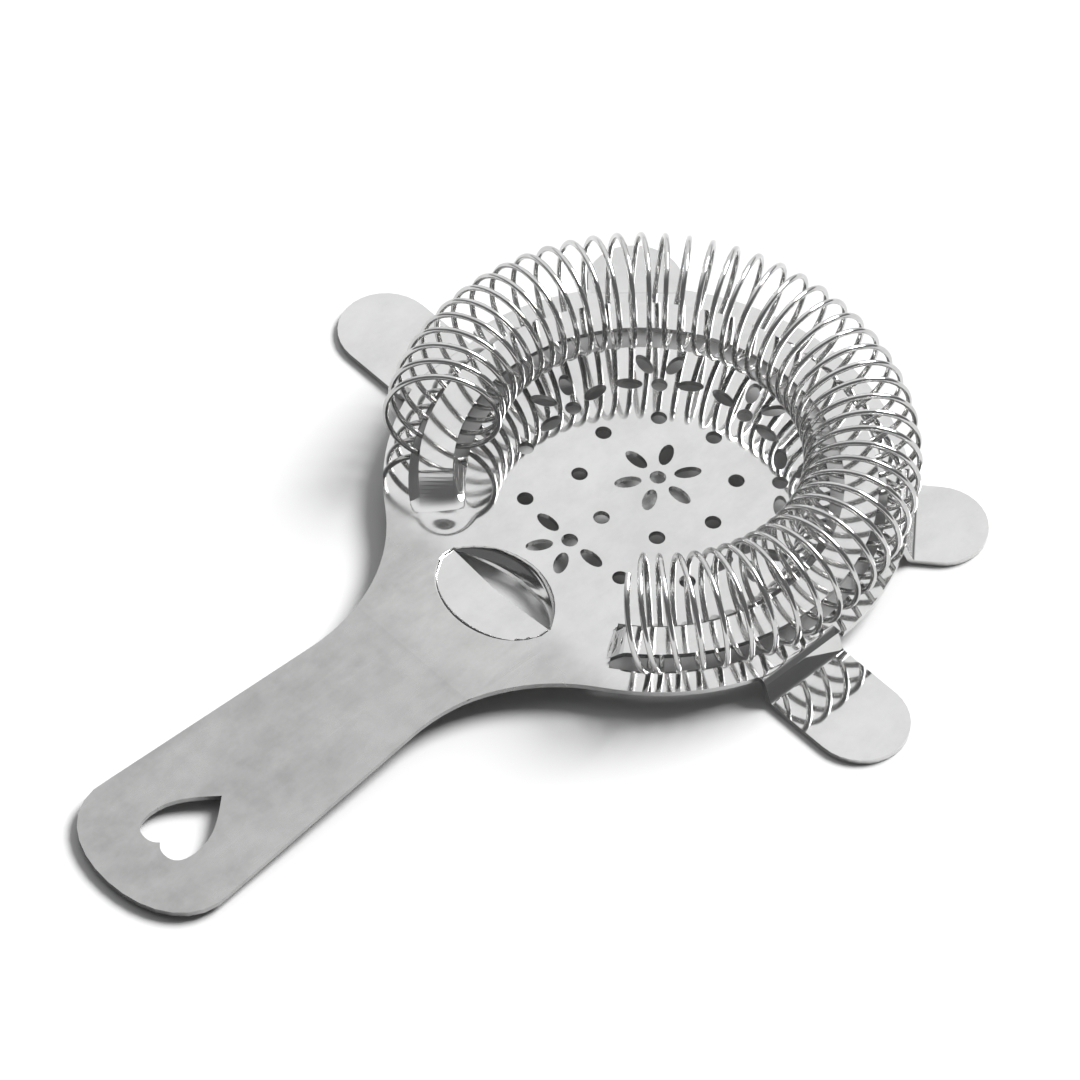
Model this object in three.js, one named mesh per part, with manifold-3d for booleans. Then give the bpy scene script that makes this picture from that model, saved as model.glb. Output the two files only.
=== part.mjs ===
// Hawthorne strainer: a stamped and formed steel plate with a coil spring threaded round its raised strip.
// Millimetres, +Z up. The strainer lies spring side up on its prongs, with the handle towards -X.
// Everything is built round the axis of the spring's ring, then the whole is set down so that the origin
// is at the bottom centre of its bounding box.

import * as THREE from 'three';
import { mergeVertices } from 'three/addons/utils/BufferGeometryUtils.js';
import Module from 'manifold-3d';

const wasm = await Module();
wasm.setup();

const degrees = Math.PI / 180;

// Driving dimensions of the sheet
const sheet = 1.0;              // sheet thickness
const plateRadius = 44;         // outer rim of the round plate
const discRadius = 30.3;        // edge of the perforated disc, where the inner slot starts
const stripInner = 32.5;        // raised strip that carries the spring
const stripOuter = 38.2;
const flangeInner = 39.8;       // outer edge of the outer slot
const stripRise = 2.5;          // height of the strip above the disc
const padDrop = 4.0;            // the prong pads sit this far below the disc
const joggleRadius = 1.0;       // middle of the sheet in the prongs' S-bend
const joggleSlope = 65 * degrees;
const bendSteps = 4;            // facets along each of the S-bend's two arcs

// Ends of the strip, in degrees from the front: where the slots stop and where the strip comes down to the plate
const stripEnds = [
  { side: -1, innerStop: 143.5, outerStop: 143.5, rampStart: 139.5, rampStop: 145.5 },
  { side: 1, innerStop: 131, outerStop: 143.5, rampStart: 136.5, rampStop: 147.5 },
];
const wallMargin = 0.2;         // flat metal left between a slot's line and the wall that rises beyond it

// Handle
const bendX = -54;              // the handle turns down slightly from here
const handleDrop = 3.4;         // fall from the bend to the end
const handleEndX = -119.2;
const handleTaper = 0.0674;     // half width gained for each millimetre of length
const waistX = -57.6;
const waistHalfWidth = 11.6;
const endRoundX = -106;         // the rounded end starts here
const neckFillet = 32.6;        // concave blend from the plate's rim into the handle's edge

// Heart-shaped hanging hole
const heartTipX = -95.0;
const heartLength = 14.3;
const heartHalfWidth = 5.4;

// Finger tab
const slitX = -33.7;            // straight side of the tab's opening
const tabCentreX = -38.9;       // centre of the opening's curved side
const tabRadius = 12.7;
const tabDepth = 3.9;
const tabLean = 1.9;
const dimpleLength = 9.8;
const dimpleHalfWidth = 12;
const dimpleDepth = 1.5;

// Perforations
const patternX = 2.3;           // the pattern sits a little towards the front
const holeRadius = 1.4;
const petalLength = 4.7;
const petalWidth = 2.35;
const petalCircle = 5.15;
const innerRing = 13.05;
const flowerRing = 20.35;
const pairRing = 22.7;
const pairAngles = [122, 150];

// Prongs: direction from the spring's axis, offset towards the handle, half width and reach
const prongs = [
  { direction: 90, offset: 6.7, halfWidth: 8.4, reach: 64.8, bend: 41.6 },
  { direction: 48, offset: 0, halfWidth: 8.2, reach: 57.1, bend: 42.0 },
];

// Spring
const wireRadius = 0.5;
const coilRadius = 9.4;         // centre of the wire from the centre of the coil
const coilHeight = 9.05;        // centre of the coil above the disc
const coilPitch = 5.592;        // degrees round the ring for each turn, right-handed
const coilStart = -142.4;       // degrees from the front, before the first turns are crowded together
const coilTurns = 48 + 7 / 12;  // from a cut end on top to one low down inside
const crowding = 8.2;           // degrees by which the slot's end pushes the first turn along
const crowdedTurns = 1.7;
const lean = 6.8;               // degrees by which the top of the first turn leans towards the handle
const leaningTurns = 2.3;
const stepsPerTurn = 12;
const wireSides = 5;

const ringRadius = (discRadius + flangeInner) / 2;
const overlap = 0.4;            // depth to which formed regions run into the flat sheet that they join

// Geometry into a solid that can be cut and joined, and back
function toSolid(geometry) {
  const bare = new THREE.BufferGeometry();
  bare.setAttribute('position', geometry.getAttribute('position'));
  if (geometry.index) bare.setIndex(geometry.index);
  const merged = mergeVertices(bare, 1e-4);
  return new wasm.Manifold(new wasm.Mesh({
    numProp: 3,
    vertProperties: new Float32Array(merged.attributes.position.array),
    triVerts: new Uint32Array(merged.index.array),
  }));
}

function toGeometry(solid) {
  const mesh = solid.getMesh();
  const geometry = new THREE.BufferGeometry();
  geometry.setAttribute('position', new THREE.BufferAttribute(mesh.vertProperties, 3));
  geometry.setIndex(new THREE.BufferAttribute(mesh.triVerts, 1));
  geometry.computeVertexNormals();
  return geometry;
}

function extruded(shape, low, high) {
  const geometry = new THREE.ExtrudeGeometry(shape, { depth: high - low, bevelEnabled: false, curveSegments: 8 });
  return geometry.translate(0, 0, low);
}

// A box whose low and high corners are given, as a tool for cutting
function block(low, high) {
  const size = new THREE.Vector3().subVectors(high, low);
  const middle = new THREE.Vector3().addVectors(high, low).multiplyScalar(0.5);
  return new THREE.BoxGeometry(size.x, size.y, size.z).translate(middle.x, middle.y, middle.z);
}

// A strip of sheet metal, in segments, whose points are moved by a function of their place
function formed(size, segments, place) {
  const geometry = new THREE.BoxGeometry(size[0], size[1], sheet, segments[0], segments[1], 1);
  const points = geometry.getAttribute('position');
  const point = new THREE.Vector3();
  for (let i = 0; i < points.count; i += 1) {
    place(point.fromBufferAttribute(points, i));
    points.setXYZ(i, point.x, point.y, point.z);
  }
  return geometry;
}

// Position between 0 and 1 with a gentle start and finish
function smooth(t) {
  const s = THREE.MathUtils.clamp(t, 0, 1);
  return s * s * (3 - 2 * s);
}

// A long arc about the spring's axis, in pieces so that it gets enough facets
function roundStretch(shape, radius, from, to) {
  const pieces = 6;
  const turn = (to - from) / pieces;
  for (let i = 0; i < pieces; i += 1) {
    shape.absarc(0, 0, radius, from + turn * i, from + turn * (i + 1), turn < 0);
  }
}

function handleHalfWidth(x) {
  return waistHalfWidth + handleTaper * (waistX - x);
}

// Centre of the concave arc that blends the plate's rim into the handle's edge
function filletCentre() {
  const edge = new THREE.Vector2(handleTaper, 1).normalize();
  const along = new THREE.Vector2(edge.y, -edge.x);
  const fromAxis = handleHalfWidth(0) * edge.y + neckFillet;
  const reach = Math.sqrt((plateRadius + neckFillet) ** 2 - fromAxis ** 2);
  return edge.multiplyScalar(fromAxis).addScaledVector(along, -reach);
}

// The rim, the two concave neck blends, the tapering edges and the rounded end, as one closed outline
function blankOutline() {
  const centre = filletCentre();
  const rimAngle = Math.atan2(centre.y, centre.x);
  const edgeAngle = -Math.PI / 2 - Math.atan(handleTaper);
  const half = handleHalfWidth(endRoundX);
  const shape = new THREE.Shape();
  roundStretch(shape, plateRadius, -rimAngle, rimAngle);
  shape.absarc(centre.x, centre.y, neckFillet, rimAngle - Math.PI, edgeAngle, true);
  shape.lineTo(endRoundX, half);
  shape.bezierCurveTo(endRoundX - 8.5, half + 1.5, handleEndX, 9, handleEndX, 0);
  shape.bezierCurveTo(handleEndX, -9, endRoundX - 8.5, -half - 1.5, endRoundX, -half);
  shape.absarc(centre.x, -centre.y, neckFillet, -edgeAngle, Math.PI - rimAngle, true);
  return shape;
}

function heartOutline() {
  const lobeX = heartTipX - heartLength * 0.72;
  const farX = heartTipX - heartLength;
  const shape = new THREE.Shape();
  shape.moveTo(heartTipX, 0);
  shape.bezierCurveTo(heartTipX - 3.5, 3, lobeX + 4, heartHalfWidth, lobeX, heartHalfWidth);
  shape.bezierCurveTo(lobeX - 3, heartHalfWidth, farX, 4.2, farX, 2.4);
  shape.quadraticCurveTo(farX, 0.9, farX + 1.1, 0);
  shape.quadraticCurveTo(farX, -0.9, farX, -2.4);
  shape.bezierCurveTo(farX, -4.2, lobeX - 3, -heartHalfWidth, lobeX, -heartHalfWidth);
  shape.bezierCurveTo(lobeX + 4, -heartHalfWidth, heartTipX - 3.5, -3, heartTipX, 0);
  return shape;
}

// Part of a flat ring about the spring's axis
function ringSector(inner, outer, from, to) {
  const shape = new THREE.Shape();
  roundStretch(shape, outer, from * degrees, to * degrees);
  roundStretch(shape, inner, to * degrees, from * degrees);
  return shape;
}

function tabOpening() {
  const spread = Math.acos((slitX - tabCentreX) / tabRadius);
  const shape = new THREE.Shape();
  shape.absarc(tabCentreX, 0, tabRadius, -spread, spread, false);
  return shape;
}

function polar(radius, angle, centre = new THREE.Vector2()) {
  return new THREE.Vector2(Math.cos(angle), Math.sin(angle)).multiplyScalar(radius).add(centre);
}

function roundHole(centre) {
  const shape = new THREE.Shape();
  shape.absellipse(centre.x, centre.y, holeRadius, holeRadius, 0, 2 * Math.PI, false, 0);
  return shape;
}

function petal(flower, angle) {
  const centre = polar(petalCircle, angle, flower);
  const shape = new THREE.Shape();
  shape.absellipse(centre.x, centre.y, petalLength / 2, petalWidth / 2, 0, 2 * Math.PI, false, angle);
  return shape;
}

// A six-petal flower in the middle, a ring of round holes, six open flowers and two pairs of round holes
function perforations() {
  const middle = new THREE.Vector2(patternX, 0);
  const holes = [roundHole(middle)];
  for (let i = 0; i < 6; i += 1) holes.push(petal(middle, (30 + 60 * i) * degrees));
  for (let i = 0; i < 8; i += 1) holes.push(roundHole(polar(innerRing, 45 * i * degrees, middle)));
  for (const direction of [0, 45, 90, 180, 270, 315]) {
    const flower = polar(flowerRing, direction * degrees, middle);
    holes.push(roundHole(flower));
    for (const turn of [-90, -30, 30, 90]) holes.push(petal(flower, (direction + turn) * degrees));
  }
  for (const direction of pairAngles) {
    holes.push(roundHole(polar(pairRing, direction * degrees, middle)));
    holes.push(roundHole(polar(pairRing, -direction * degrees, middle)));
  }
  return holes;
}

// The blank's handle, turned down about the bend line
function bentHandle() {
  const drop = Math.asin(handleDrop / (bendX - handleEndX));
  const blank = blankOutline();
  blank.holes.push(heartOutline());
  const handle = extruded(blank, -sheet / 2, sheet / 2).translate(-bendX, 0, 0).rotateY(-drop);
  handle.translate(bendX, 0, -sheet / 2);
  const side = block(new THREE.Vector3(handleEndX - 9, -60, -60), new THREE.Vector3(bendX + overlap, 60, 60));
  return toSolid(handle).intersect(toSolid(side));
}

// The round plate and neck, flat, with room left for the regions that are formed
function flatPlate() {
  const [right, left] = stripEnds;
  const blank = blankOutline();
  const band = ringSector(discRadius, flangeInner, -right.rampStop - 0.5, left.rampStop + 0.5);
  blank.holes.push(band, tabOpening(), ...perforations());
  const side = block(new THREE.Vector3(bendX, -60, -60), new THREE.Vector3(60, 60, 60));
  const dimpleRoom = fingerDimple(overlap, 6);
  return toSolid(extruded(blank, -sheet, 0)).intersect(toSolid(side)).subtract(toSolid(dimpleRoom));
}

// The level part of the strip, between its two ends
function levelStrip() {
  const [right, left] = stripEnds;
  const sector = ringSector(stripInner, stripOuter, 1 - right.rampStart, left.innerStop - 1);
  return toSolid(extruded(sector, stripRise - sheet, stripRise));
}

// One end of the strip, which runs down into the plate, and the walls that join it there beyond the slots
function stripEnd({ side, innerStop, outerStop, rampStart, rampStop }) {
  const from = Math.min(innerStop, rampStart) - 2;
  const to = rampStop + 1;
  const rows = Math.round(to - from);
  const innerFoot = discRadius + wallMargin;
  const outerFoot = flangeInner - wallMargin;
  const innerWall = [0, 1, 2, 3, 4].map((i) => innerFoot + ((stripInner - innerFoot) * i) / 4);
  const outerWall = [0, 1, 2, 3].map((i) => stripOuter + ((outerFoot - stripOuter) * i) / 3);
  const radii = [discRadius - overlap, ...innerWall, ...outerWall, flangeInner + overlap];
  const last = radii.length - 1;
  const end = toSolid(formed([rows, last], [rows, last], (point) => {
    const angle = side * (from + ((to - from) * (rows / 2 + side * point.x)) / rows);
    const radius = radii[Math.round(last / 2 - point.y)];
    const ramp = smooth((rampStop - Math.abs(angle)) / (rampStop - rampStart));
    const inner = smooth((radius - innerFoot) / (stripInner - innerFoot));
    const outer = smooth((outerFoot - radius) / (outerFoot - stripOuter));
    const height = point.z - sheet / 2 + stripRise * ramp * inner * outer;
    const place = polar(radius, angle * degrees);
    point.set(place.x, place.y, height);
  }));
  const innerSlot = ringSector(discRadius - 1, stripInner + 0.05, side * (from - 1), side * innerStop);
  const outerSlot = ringSector(stripOuter - 0.05, flangeInner + 1, side * (from - 1), side * outerStop);
  const cutters = [innerSlot, outerSlot].map((slot) => toSolid(extruded(slot, -stripRise - sheet, 2 * stripRise)));
  return end.subtract(cutters[0]).subtract(cutters[1]);
}

// The disc's side of the tab opening is drawn down into a curved lip for the finger
function fingerTab() {
  const spread = Math.acos((slitX - tabCentreX) / tabRadius);
  return toSolid(formed([2, 1], [20, 5], (point) => {
    const angle = point.x * spread;
    const down = 0.5 - point.y;
    const bulge = 1 - 0.97 * point.x ** 2;
    const radius = tabRadius - tabLean * smooth(down) * bulge + sheet / 2 + point.z;
    const height = -overlap / 2 - tabDepth * down * bulge;
    point.set(tabCentreX + radius * Math.cos(angle), radius * Math.sin(angle), height);
  }));
}

// A shallow crescent hollow on the handle's side of the opening, or the room that it takes up
function fingerDimple(margin, thickness) {
  const length = dimpleLength - margin;
  const halfWidth = dimpleHalfWidth - margin;
  return formed([1, 2], [8, 24], (point) => {
    const bow = Math.sqrt(1.05 - point.y ** 2);
    const x = slitX + margin - (length + margin) * bow * (0.5 - point.x);
    const y = halfWidth * point.y;
    const inside = Math.max(0, 1 - Math.hypot((slitX - x) / length, y / halfWidth));
    point.set(x, y, point.z * thickness - sheet / 2 - dimpleDepth * inside);
  });
}

// Middle of the sheet along a prong's S-bend, with the slope there: two arcs and the straight between them
function joggle() {
  const rise = joggleRadius * (1 - Math.cos(joggleSlope));
  const straight = (padDrop - 2 * rise) / Math.sin(joggleSlope);
  const run = 2 * joggleRadius * Math.sin(joggleSlope) + straight * Math.cos(joggleSlope);
  const first = [];
  const second = [];
  for (let i = 0; i <= bendSteps; i += 1) {
    const slope = (joggleSlope * i) / bendSteps;
    const x = joggleRadius * Math.sin(slope);
    const z = joggleRadius * (1 - Math.cos(slope));
    first.push({ x, z: -z, slope });
    second.unshift({ x: run - x, z: z - padDrop, slope });
  }
  return [...first, ...second];
}

// A round-ended tongue that steps down through an S-bend to its flat pad
function prong({ direction, offset, halfWidth, reach, bend }, side) {
  const place = (geometry) => geometry.translate(0, side * offset, 0).rotateZ(side * direction * degrees);
  const tongue = new THREE.Shape();
  tongue.moveTo(bend - 1, halfWidth);
  tongue.lineTo(bend - 1, -halfWidth);
  tongue.absarc(reach - halfWidth, 0, halfWidth, -Math.PI / 2, Math.PI / 2, false);
  const flat = { x: -1, z: 0, slope: 0 };
  const pad = { x: reach + 1 - bend, z: -padDrop, slope: 0 };
  const line = [flat, ...joggle(), pad];
  const last = line.length - 1;
  const bent = formed([last, 2 * halfWidth + 1], [last, 1], (point) => {
    const { x, z, slope } = line[Math.round(point.x + last / 2)];
    point.x = bend + x + point.z * Math.sin(slope);
    point.z = z - sheet / 2 + point.z * Math.cos(slope);
  });
  const solid = toSolid(place(extruded(tongue, -20, 20))).intersect(toSolid(place(bent)));
  const corner = halfWidth - overlap / 4;
  const room = place(block(new THREE.Vector3(bend, -corner, -9), new THREE.Vector3(reach, corner, 9)));
  return { solid, room: toSolid(room) };
}

function strainerPlate() {
  let plate = flatPlate();
  for (const side of [1, -1]) {
    for (const dimensions of prongs) {
      const { solid, room } = prong(dimensions, side);
      plate = plate.subtract(room).add(solid);
    }
  }
  const ends = stripEnds.map(stripEnd);
  const dimple = toSolid(fingerDimple(0, 1));
  for (const region of [bentHandle(), levelStrip(), ...ends, fingerTab(), dimple]) plate = plate.add(region);
  return toGeometry(plate);
}

// A helix whose own axis is the arc of the strip
class CoilPath extends THREE.Curve {
  getPoint(t, target = new THREE.Vector3()) {
    const turn = coilTurns * t;
    const roll = Math.PI / 2 - 2 * Math.PI * turn;
    const pushed = crowding * Math.exp(-turn / crowdedTurns);
    const leant = (lean * Math.exp(-((turn / leaningTurns) ** 2)) * (1 + Math.sin(roll))) / 2;
    const around = (coilStart + coilPitch * turn + pushed - leant) * degrees;
    const radius = ringRadius + coilRadius * Math.cos(roll);
    const height = coilHeight + coilRadius * Math.sin(roll);
    return target.set(radius * Math.cos(around), radius * Math.sin(around), height);
  }
}

function coilSpring() {
  const path = new CoilPath();
  path.arcLengthDivisions = Math.round(coilTurns * 60);
  const section = new THREE.Shape();
  for (let i = 0; i < wireSides; i += 1) {
    const corner = polar(wireRadius, (2 * Math.PI * i) / wireSides);
    if (i === 0) section.moveTo(corner.x, corner.y);
    else section.lineTo(corner.x, corner.y);
  }
  return new THREE.ExtrudeGeometry(section, { steps: Math.round(coilTurns * stepsPerTurn), extrudePath: path });
}

const plateSteel = new THREE.MeshStandardMaterial({ color: 0xc4c4c2, roughness: 0.32, metalness: 1 });
const springSteel = new THREE.MeshStandardMaterial({ color: 0xd4d4d4, roughness: 0.18, metalness: 1 });

const plate = new THREE.Mesh(strainerPlate(), plateSteel);
plate.name = 'strainer_plate';

const spring = new THREE.Mesh(coilSpring(), springSteel);
spring.name = 'coil_spring';

const strainer = new THREE.Group();
strainer.add(plate, spring);

const bounds = new THREE.Box3().setFromObject(strainer);
strainer.position.set(-(bounds.min.x + bounds.max.x) / 2, 0, -bounds.min.z);

export default strainer;
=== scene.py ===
from math import cos, exp, pi, radians, sin

import bpy
from mathutils import Matrix, Vector


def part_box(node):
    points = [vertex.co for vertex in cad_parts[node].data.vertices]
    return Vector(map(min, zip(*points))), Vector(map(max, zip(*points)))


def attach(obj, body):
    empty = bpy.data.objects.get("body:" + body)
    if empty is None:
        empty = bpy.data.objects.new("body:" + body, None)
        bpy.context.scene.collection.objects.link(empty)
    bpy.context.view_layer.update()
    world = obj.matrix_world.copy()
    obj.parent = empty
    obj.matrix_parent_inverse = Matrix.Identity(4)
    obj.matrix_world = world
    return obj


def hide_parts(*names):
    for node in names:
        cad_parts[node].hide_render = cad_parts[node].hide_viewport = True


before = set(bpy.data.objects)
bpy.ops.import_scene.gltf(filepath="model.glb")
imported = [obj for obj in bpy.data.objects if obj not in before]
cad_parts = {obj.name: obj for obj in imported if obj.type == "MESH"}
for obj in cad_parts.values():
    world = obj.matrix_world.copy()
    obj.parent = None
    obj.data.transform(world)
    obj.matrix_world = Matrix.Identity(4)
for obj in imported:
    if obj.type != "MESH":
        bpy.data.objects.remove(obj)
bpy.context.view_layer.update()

scene = bpy.context.scene
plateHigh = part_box("strainer_plate")[1]

# The axis of the spring's ring meets the disc's upper face at ringCentre
ring = {
    "plateRadius": 0.044,
    "discTop": 0.005,      # upper face of the flat plate, above the undersides of the pads
    "radius": 0.03505,     # centre line of the raised strip
}
ringCentre = Vector((plateHigh.x - ring["plateRadius"], 0, ring["discTop"]))


def deselectAll():
    if bpy.context.object and bpy.context.object.mode != "OBJECT":
        bpy.ops.object.mode_set(mode="OBJECT")
    bpy.ops.object.select_all(action="DESELECT")


def pickOnly(piece):
    deselectAll()
    piece.select_set(True)
    bpy.context.view_layer.objects.active = piece


def applyModifiers(piece):
    pickOnly(piece)
    for name in [modifier.name for modifier in piece.modifiers]:
        bpy.ops.object.modifier_apply(modifier=name)


# One number, colour or vector of a material, with the sums that are made of it
class Wire:
    def __init__(self, tree, socket=None):
        self.tree = tree
        self.socket = socket

    # Any node: its type, its settings, the values or links of its sockets, and which output is wanted
    def node(self, kind, settings=None, inputs=None, output=0):
        made = self.tree.nodes.new(kind)
        for name, value in (settings or {}).items():
            setattr(made, name, value)
        for name, value in (inputs or {}).items():
            if isinstance(value, Wire):
                self.tree.links.new(value.socket, made.inputs[name])
            else:
                made.inputs[name].default_value = value
        return Wire(self.tree, made.outputs[output] if made.outputs else None)

    def math(self, operation, *values):
        return self.node("ShaderNodeMath", {"operation": operation}, dict(enumerate(values)))

    def __add__(self, other):
        return self.math("ADD", self, other)

    __radd__ = __add__

    def __sub__(self, other):
        return self.math("SUBTRACT", self, other)

    def __rsub__(self, other):
        return self.math("SUBTRACT", other, self)

    def __mul__(self, other):
        return self.math("MULTIPLY", self, other)

    __rmul__ = __mul__

    def __truediv__(self, other):
        return self.math("DIVIDE", self, other)

    def __pow__(self, other):
        return self.math("POWER", self, other)

    def __abs__(self):
        return self.math("ABSOLUTE", self)

    # Rises softly from 0 to 1 while the value goes from low to high
    def between(self, low, high):
        settings = {"interpolation_type": "SMOOTHSTEP"}
        return self.node("ShaderNodeMapRange", settings, {"Value": self, "From Min": low, "From Max": high})

    # The first colour where this is 0, and the second where it is 1
    def mixed(self, first, second):
        inputs = {0: self, 6: first, 7: second}
        return self.node("ShaderNodeMix", {"data_type": "RGBA"}, inputs, 2)


def newMaterial(name):
    material = bpy.data.materials.new(name)
    material.use_nodes = True
    material.node_tree.nodes.clear()
    return material, Wire(material.node_tree)


noiseMiddle = 0.5


def noise(start, place, scale, detail, roughness, stretch=(1, 1, 1)):
    stretched = start.node("ShaderNodeMapping", {}, {"Vector": place, "Scale": stretch})
    inputs = {"Vector": stretched, "Scale": scale, "Detail": detail, "Roughness": roughness}
    return start.node("ShaderNodeTexNoise", {}, inputs)


# Bare steel with fine relief, whose height is in metres
def steel(start, colour, roughness, height):
    normal = start.node("ShaderNodeBump", {}, {"Strength": 1.0, "Distance": 1.0, "Height": height})
    inputs = {"Base Color": colour, "Metallic": 1.0, "Roughness": roughness, "Normal": normal}
    surface = start.node("ShaderNodeBsdfPrincipled", {}, inputs)
    start.node("ShaderNodeOutputMaterial", {}, {"Surface": surface})


# Stamped stainless sheet: bright round the spring, clouded satin along the handle, whose colour is darkened
# as painted shade
plateFinish = {
    "colour": (0.66, 0.66, 0.655, 1),
    "dullColour": (0.57, 0.57, 0.565, 1),
    # The satin colours are darker than bare steel: painted shade along the handle
    "satinPaintedShadeColour": (0.42, 0.42, 0.415, 1),
    "satinPaintedShadeDullColour": (0.27, 0.27, 0.267, 1),
    "polishRoughness": 0.085,
    "satinRoughness": 0.33,
    "satinAndShadeStart": -0.031,                        # from the ring's axis towards the handle
    "satinAndShadeFull": -0.041,
    "cloud": (62, 5, 0.62, (0.75, 1.7, 1)),      # of each noise: scale, detail, roughness and stretch
    "fineCloud": (240, 3, 0.6),
    "grain": (1000, 2, 0.6, (0.35, 4.2, 1)),
    "scratch": (420, 1, 0.4, (0.12, 6.5, 1)),
    "scratchRange": (0.66, 0.74),                # part of its noise that a pattern shows in
    "wornRange": (0.5, 0.56),
    "cloudRange": (0.3, 0.72),
    "fineRange": (0.35, 0.7),
    "fineShare": 0.3,                            # of the fine clouds in the change of colour
    "cloudRoughness": (0.05, 0.16),              # on the polish, and what satin adds to it
    "fineRoughness": (0.02, 0.06),
    "scratchRoughness": 0.02,
    "wornPolish": 0.04,
    "grainDepth": 0.0000012,
    "grainOnPolish": 0.2,
    "waveDepth": 0.00008,
}

# The hollow beside the finger tab's opening, half an oval, left polished and free of the satin's painted
# shade, so that it shows bright
hollow = {"straightSide": -0.0337, "length": 0.0098, "halfWidth": 0.012, "edge": (0.9, 1.0), "polish": 0.9}

# Faint crease where the handle turns down
crease = {"x": -0.0545, "halfWidth": 0.0028, "depth": 0.00005}

# Dents beyond the ends of the raised strip, by degrees from the front and radius
dents = {"places": [(-148.5, 0.0345), (149.5, 0.0345)], "radius": 0.0052, "depth": 0.00022}


def plateMaterial():
    finish = plateFinish
    material, start = newMaterial("plateSteel")
    place = start.node("ShaderNodeTexCoord", {}, {}, "Object")
    x = start.node("ShaderNodeSeparateXYZ", {}, {0: place}, 0) - ringCentre.x
    y = start.node("ShaderNodeSeparateXYZ", {}, {0: place}, 1)
    cloud = noise(start, place, *finish["cloud"])
    fineCloud = noise(start, place, *finish["fineCloud"])
    grain = noise(start, place, *finish["grain"])
    scratches = noise(start, place, *finish["scratch"]).between(*finish["scratchRange"])
    worn = start.node("ShaderNodeNewGeometry", {}, {}, "Pointiness").between(*finish["wornRange"])

    inHollow = ((x - hollow["straightSide"]) / hollow["length"]) ** 2 + (y / hollow["halfWidth"]) ** 2
    # Inside the hollow the sheet stays polished and keeps no painted shade
    polishedWithoutPaintedShade = 1 - inHollow.between(*hollow["edge"])
    # Satin along the handle: rougher, and its colour darkened as painted shade
    satinAndPaintedShade = (1 - x.between(finish["satinAndShadeFull"], finish["satinAndShadeStart"])) * (1 - polishedWithoutPaintedShade * hollow["polish"])

    roughness = finish["polishRoughness"] + satinAndPaintedShade * (finish["satinRoughness"] - finish["polishRoughness"])
    for pattern, amounts in ((cloud, "cloudRoughness"), (fineCloud, "fineRoughness")):
        onPolish, onSatin = finish[amounts]
        roughness = roughness + (pattern - noiseMiddle) * (onPolish + satinAndPaintedShade * onSatin)
    roughness = roughness + scratches * finish["scratchRoughness"] - worn * finish["wornPolish"]

    broadShade = cloud.between(*finish["cloudRange"]) * (1 - finish["fineShare"])
    shade = broadShade + fineCloud.between(*finish["fineRange"]) * finish["fineShare"]
    bright = shade.mixed(finish["colour"], finish["dullColour"])
    # The satin colour, darkened as painted shade
    paintedShadeSatin = shade.mixed(finish["satinPaintedShadeColour"], finish["satinPaintedShadeDullColour"])
    colour = satinAndPaintedShade.mixed(bright, paintedShadeSatin)

    grainShare = satinAndPaintedShade * (1 - finish["grainOnPolish"]) + finish["grainOnPolish"]
    height = cloud * satinAndPaintedShade * finish["waveDepth"] + grain * grainShare * finish["grainDepth"]
    creased = 1 - abs(x - crease["x"]).between(0.0, crease["halfWidth"])
    height = height - creased * crease["depth"]
    for angle, radius in dents["places"]:
        centre = ringCentre + Vector((cos(radians(angle)), sin(radians(angle)), 0)) * radius
        away = start.node("ShaderNodeVectorMath", {"operation": "DISTANCE"}, {0: place, 1: centre}, "Value")
        height = height - (1 - away.between(0.0, dents["radius"])) * dents["depth"]
    steel(start, colour, roughness, height)
    return material


# Bright drawn wire
springFinish = {
    "colour": (0.62, 0.62, 0.615, 1),
    "dullColour": (0.46, 0.46, 0.455, 1),
    "roughness": 0.13,
    "drawn": (1.0, 2, 0.5, (0.8, 9, 1)),         # of each noise: scale, detail, roughness and stretch
    "smudge": (130, 3, 0.6),
    "speck": (1400, 2, 0.6),
    "drawnRange": (0.4, 0.7),                    # part of its noise that a pattern shows in
    "smudgeRange": (0.35, 0.75),
    "drawnShare": 0.3,                           # of the draw lines in the change of colour
    "smudgeRoughness": 0.12,
    "drawnRoughness": 0.06,
    "speckRoughness": 0.04,
    "drawLineDepth": 0.000002,
}


def springMaterial():
    finish = springFinish
    material, start = newMaterial("springSteel")
    place = start.node("ShaderNodeTexCoord", {}, {}, "Object")
    along = start.node("ShaderNodeAttribute", {"attribute_name": "wireTurn"}, {}, "Vector")
    drawn = noise(start, along, *finish["drawn"])
    smudge = noise(start, place, *finish["smudge"])
    speck = noise(start, place, *finish["speck"])
    roughness = finish["roughness"] + (smudge - noiseMiddle) * finish["smudgeRoughness"]
    roughness = roughness + (drawn - noiseMiddle) * finish["drawnRoughness"]
    roughness = roughness + (speck - noiseMiddle) * finish["speckRoughness"]
    smudgeShade = smudge.between(*finish["smudgeRange"]) * (1 - finish["drawnShare"])
    shade = smudgeShade + drawn.between(*finish["drawnRange"]) * finish["drawnShare"]
    colour = shade.mixed(finish["colour"], finish["dullColour"])
    steel(start, colour, roughness, drawn * finish["drawLineDepth"])
    return material


# The plate keeps the shape of its frame node, merged so that its bends and rim shade smoothly
plate = {"mergeWithin": 0.000004, "smoothAngle": 20, "areaWeight": 100}


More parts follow.
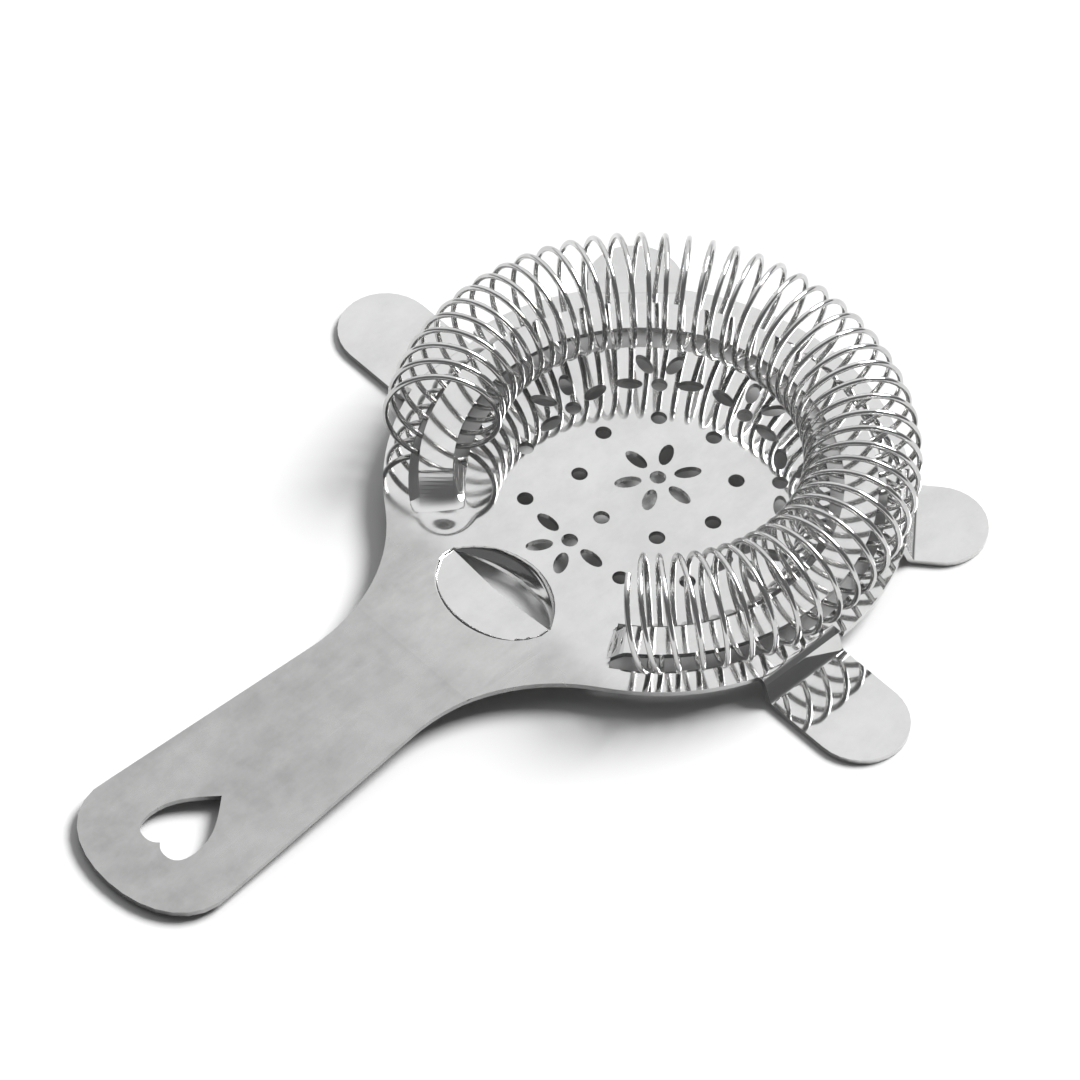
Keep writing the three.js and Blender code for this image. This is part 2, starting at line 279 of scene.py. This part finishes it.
def buildPlate():
    pickOnly(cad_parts["strainer_plate"])
    bpy.ops.object.duplicate()
    piece = bpy.context.object
    for key in [key for key in piece.keys() if key.startswith("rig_")]:
        del piece[key]
    piece.parent = None
    piece.name = "strainerPlateFine"
    pickOnly(piece)
    bpy.ops.object.mode_set(mode="EDIT")
    bpy.ops.mesh.select_all(action="SELECT")
    bpy.ops.mesh.remove_doubles(threshold=plate["mergeWithin"])
    bpy.ops.object.mode_set(mode="OBJECT")
    bpy.ops.object.shade_smooth_by_angle(angle=radians(plate["smoothAngle"]))
    weights = piece.modifiers.new("weights", "WEIGHTED_NORMAL")
    weights.keep_sharp = True
    weights.weight = plate["areaWeight"]
    applyModifiers(piece)
    piece.data.materials.clear()
    piece.data.materials.append(plateMaterial())
    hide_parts("strainer_plate")
    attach(piece, "plate")


# The spring: a helix whose own axis is the arc of the strip, crowded and leaning at its first end
spring = {
    "wireRadius": 0.00049,
    "coilRadius": 0.0094,
    "coilHeight": 0.00905,
    "pitch": 5.592,        # degrees round the ring for each turn
    "start": -142.4,       # degrees from the front
    "turns": 48 + 7 / 12,
    "crowding": 8.2,       # degrees that the first turn is pushed along
    "crowdedTurns": 1.7,
    "lean": 6.8,           # degrees that the top of the first turn leans back
    "leaningTurns": 2.3,
    "straightTurns": 49,   # whole turns of the straight helix that the spring is bent from
    "stepsPerTurn": 48,
    "roundness": 4,        # gives the wire 12 sides
    "smoothAngle": 50,
    "noisePerTurn": 6,     # how far each turn runs through the noise of the draw lines
}


def springPoint(turn):
    roll = pi / 2 - 2 * pi * turn
    pushed = spring["crowding"] * exp(-turn / spring["crowdedTurns"])
    leant = spring["lean"] * exp(-((turn / spring["leaningTurns"]) ** 2)) * (1 + sin(roll)) / 2
    around = radians(spring["start"] + spring["pitch"] * turn + pushed - leant)
    reach = ring["radius"] + spring["coilRadius"] * cos(roll)
    height = spring["coilHeight"] + spring["coilRadius"] * sin(roll)
    return ringCentre + Vector((reach * cos(around), reach * sin(around), height))


# How far along and how far round the wire each point is, for the lines left by drawing
def markWire(mesh):
    sides = len(mesh.vertices) // (spring["straightTurns"] * spring["stepsPerTurn"] + 1)
    mark = mesh.attributes.new("wireTurn", "FLOAT_VECTOR", "POINT")
    for index in range(len(mesh.vertices)):
        section, side = divmod(index, sides)
        turned = 2 * pi * side / sides
        along = section / spring["stepsPerTurn"] * spring["noisePerTurn"]
        mark.data[index].vector = (along, cos(turned), sin(turned))


def buildSpring():
    # A single point, which the screw draws out into a straight helix
    deselectAll()
    bpy.ops.mesh.primitive_plane_add(size=0.001, location=(spring["coilRadius"], 0, 0))
    piece = bpy.context.object
    piece.name = "coilSpringFine"
    bpy.ops.object.transform_apply(location=True, rotation=True, scale=True)
    bpy.ops.object.mode_set(mode="EDIT")
    bpy.ops.mesh.select_all(action="SELECT")
    bpy.ops.mesh.merge(type="CENTER")
    bpy.ops.object.mode_set(mode="OBJECT")
    helix = piece.modifiers.new("helix", "SCREW")
    helix.axis = "Z"
    helix.angle = 2 * pi
    helix.screw_offset = 1.0
    helix.iterations = spring["straightTurns"]
    helix.steps = spring["stepsPerTurn"]
    helix.render_steps = spring["stepsPerTurn"]
    helix.use_merge_vertices = False
    applyModifiers(piece)

    # Bent round the strip, then given the wire's thickness
    for vertex in piece.data.vertices:
        vertex.co = springPoint(vertex.co.z / spring["straightTurns"] * spring["turns"])
    pickOnly(piece)
    bpy.ops.object.convert(target="CURVE")
    curve = piece.data
    curve.dimensions = "3D"
    curve.twist_mode = "MINIMUM"
    curve.bevel_mode = "ROUND"
    curve.bevel_depth = spring["wireRadius"]
    curve.bevel_resolution = spring["roundness"]
    curve.use_fill_caps = True
    bpy.ops.object.convert(target="MESH")
    markWire(piece.data)
    bpy.ops.object.mode_set(mode="EDIT")
    bpy.ops.mesh.select_all(action="SELECT")
    bpy.ops.mesh.normals_make_consistent(inside=False)
    bpy.ops.object.mode_set(mode="OBJECT")
    bpy.ops.object.shade_smooth_by_angle(angle=radians(spring["smoothAngle"]))
    piece.data.materials.clear()
    piece.data.materials.append(springMaterial())
    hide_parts("coil_spring")
    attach(piece, "spring")


# Camera: its place from ringCentre, and the directions of its own axes
view = {
    "place": (-0.53267, -0.48360, 0.84892),
    "right": (0.722973, -0.689741, 0.039596),
    "up": (0.512916, 0.574259, 0.638079),
    "back": (-0.462847, -0.441004, 0.768953),
    "lens": 223.456,
    "sensor": 36,
    "nearest": 0.01,
}


def buildCamera():
    data = bpy.data.cameras.new("viewCamera")
    data.lens = view["lens"]
    data.sensor_width = view["sensor"]
    data.clip_start = view["nearest"]
    camera = bpy.data.objects.new("viewCamera", data)
    scene.collection.objects.link(camera)
    turned = Matrix((view["right"], view["up"], view["back"])).transposed().to_4x4()
    camera.matrix_world = Matrix.Translation(ringCentre + Vector(view["place"])) @ turned
    scene.camera = camera


# Matt grey floor just under the pads, which the lamp brings up to nearly white
floorSettings = {
    "size": 3.0,
    "height": -0.0002,
    "colour": (0.50, 0.50, 0.50, 1),
    "roughness": 0.9,
    "shine": 0.1,
}


def buildFloor():
    deselectAll()
    bpy.ops.mesh.primitive_plane_add(size=floorSettings["size"], location=(0, 0, floorSettings["height"]))
    floor = bpy.context.object
    floor.name = "floor"
    material, start = newMaterial("floorPaper")
    inputs = {
        "Base Color": floorSettings["colour"],
        "Roughness": floorSettings["roughness"],
        "Specular IOR Level": floorSettings["shine"],
    }
    surface = start.node("ShaderNodeBsdfPrincipled", {}, inputs)
    start.node("ShaderNodeOutputMaterial", {}, {"Surface": surface})
    floor.data.materials.append(material)


# Soft studio light: one wide bright field high on the far side, fading to a dim room, and one broad lamp
light = {
    "dim": (0.17, 0.17, 0.173, 1),
    "bright": (1.14, 1.145, 1.15, 1),
    "fieldDirection": (0.401, 0.622, 0.672),
    "fieldEdge": 0.38,        # cosine of the angle at which the field has faded away
    "fieldCore": 0.95,        # and of the angle within which it is at its brightest
    "lampStrength": 7.4,
    "lampSpread": 30,
    "lampDirection": (0.696, -0.123, 0.707),
}


def buildLight():
    world = bpy.data.worlds.new("studio")
    world.use_nodes = True
    world.node_tree.nodes.clear()
    scene.world = world
    start = Wire(world.node_tree)
    way = start.node("ShaderNodeTexCoord", {}, {}, "Generated")
    inputs = {0: way, 1: light["fieldDirection"]}
    near = start.node("ShaderNodeVectorMath", {"operation": "DOT_PRODUCT"}, inputs, "Value")
    colour = near.between(light["fieldEdge"], light["fieldCore"]).mixed(light["dim"], light["bright"])
    shine = start.node("ShaderNodeBackground", {}, {"Color": colour, "Strength": 1.0})
    start.node("ShaderNodeOutputWorld", {}, {"Surface": shine})
    data = bpy.data.lights.new("broadLamp", "SUN")
    data.energy = light["lampStrength"]
    data.angle = radians(light["lampSpread"])
    lamp = bpy.data.objects.new("broadLamp", data)
    scene.collection.objects.link(lamp)
    lamp.rotation_euler = Vector(light["lampDirection"]).to_track_quat("Z", "Y").to_euler()


print("camera, floor and light")
buildCamera()
buildFloor()
buildLight()
scene.view_settings.view_transform = "Standard"

print("strainer plate")
buildPlate()

print("coil spring")
buildSpring()

deselectAll()
